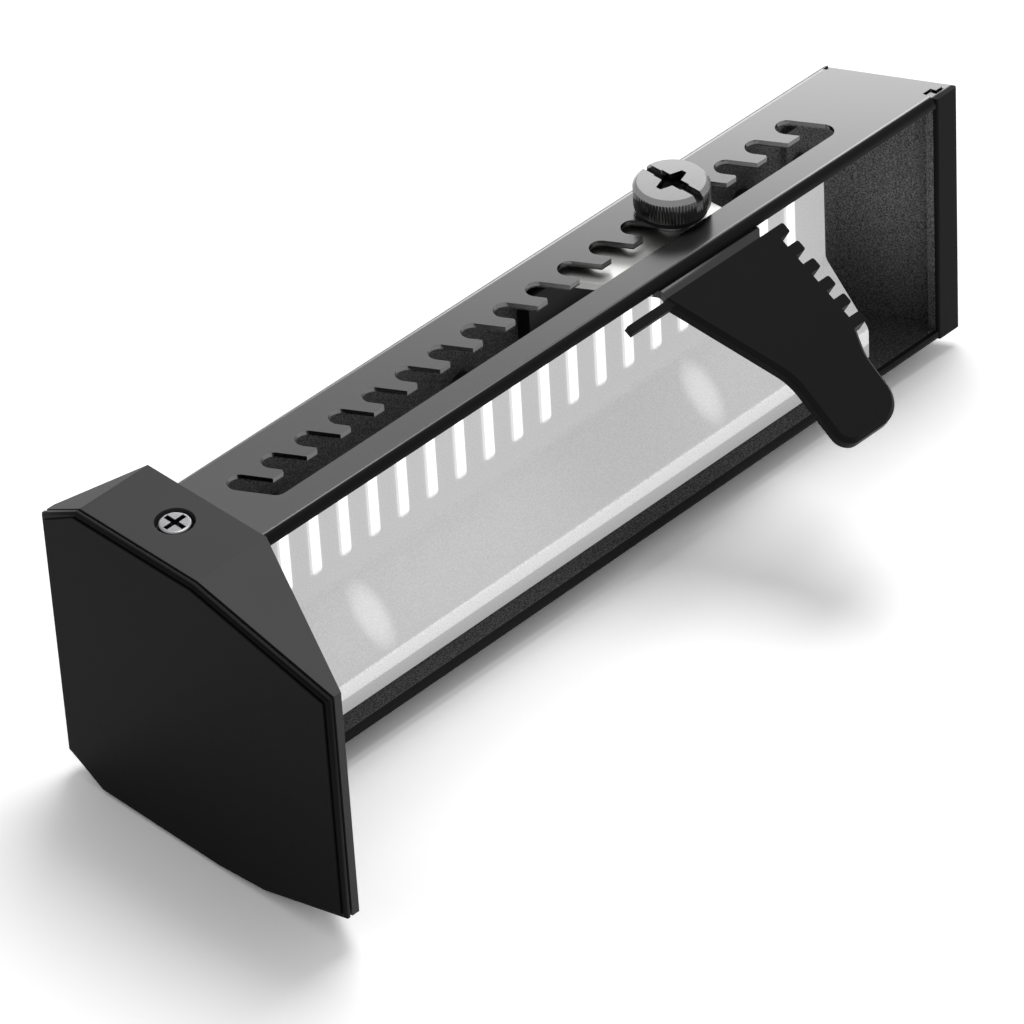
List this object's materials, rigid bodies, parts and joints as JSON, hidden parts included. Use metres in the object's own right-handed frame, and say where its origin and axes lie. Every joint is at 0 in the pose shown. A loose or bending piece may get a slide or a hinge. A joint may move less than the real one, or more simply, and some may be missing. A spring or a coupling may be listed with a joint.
{
  "type": "graphics card support bracket",
  "caption": "Slotted black column on a slanted foot, with a frosted light panel in its open side and a toothed support arm clamped in the comb slot by a thumb screw.",
  "frame": {"origin": "centre of the foot's outer face, on the column's axis", "axes": "+X up the column from the foot to its slanted end, -Y out of the open window side, +Z out of the slotted comb wall"},
  "size_m": [0.1933, 0.0717, 0.0652],
  "materials": {
    "column_paint": "satin",
    "black_rivet": "satin",
    "frosted_panel": "frosted",
    "board": "matte",
    "light_package": "gloss",
    "driver_plastic": "matte",
    "rubber": "matte",
    "foot_plastic": "satin",
    "base_paint": "satin",
    "zinc_screw": "satin",
    "nickel_steel": "bright",
    "sleeve_plastic": "matte"
  },
  "bodies": {
    "root": {"column": "column_paint", "end_plate": "column_paint", "end_rivets": "black_rivet", "light_panel": "frosted_panel", "panel_screws": "black_rivet", "light_board": "board", "lights": "light_package", "driver_module": "driver_plastic", "cable_grommet": "rubber", "foot_cap": "foot_plastic", "base_plate": "base_paint", "base_pad": "rubber", "base_screws": "zinc_screw", "magnets": "zinc_screw", "cap_screw_top": "zinc_screw", "cap_screw_bottom": "zinc_screw", "clinch_nuts": "zinc_screw"},
    "arm": {"arm_bracket": "nickel_steel", "arm_sleeve": "sleeve_plastic", "arm_nut": "zinc_screw", "thumb_washer": "nickel_steel"},
    "thumb_screw": {"thumb_screw": "nickel_steel"}
  },
  "joints": [
    {"name": "arm_slide", "type": "slide", "parent": "root", "child": "arm", "axis": [0.5, -0.866, 0], "range_m": [0, 0.0049]},
    {"name": "thumb_screw_turn", "type": "hinge", "parent": "arm", "child": "thumb_screw", "pos_m": [0.1323, 0.00148, 0.03], "axis": [0, 0, 1], "continuous": true}
  ]
}
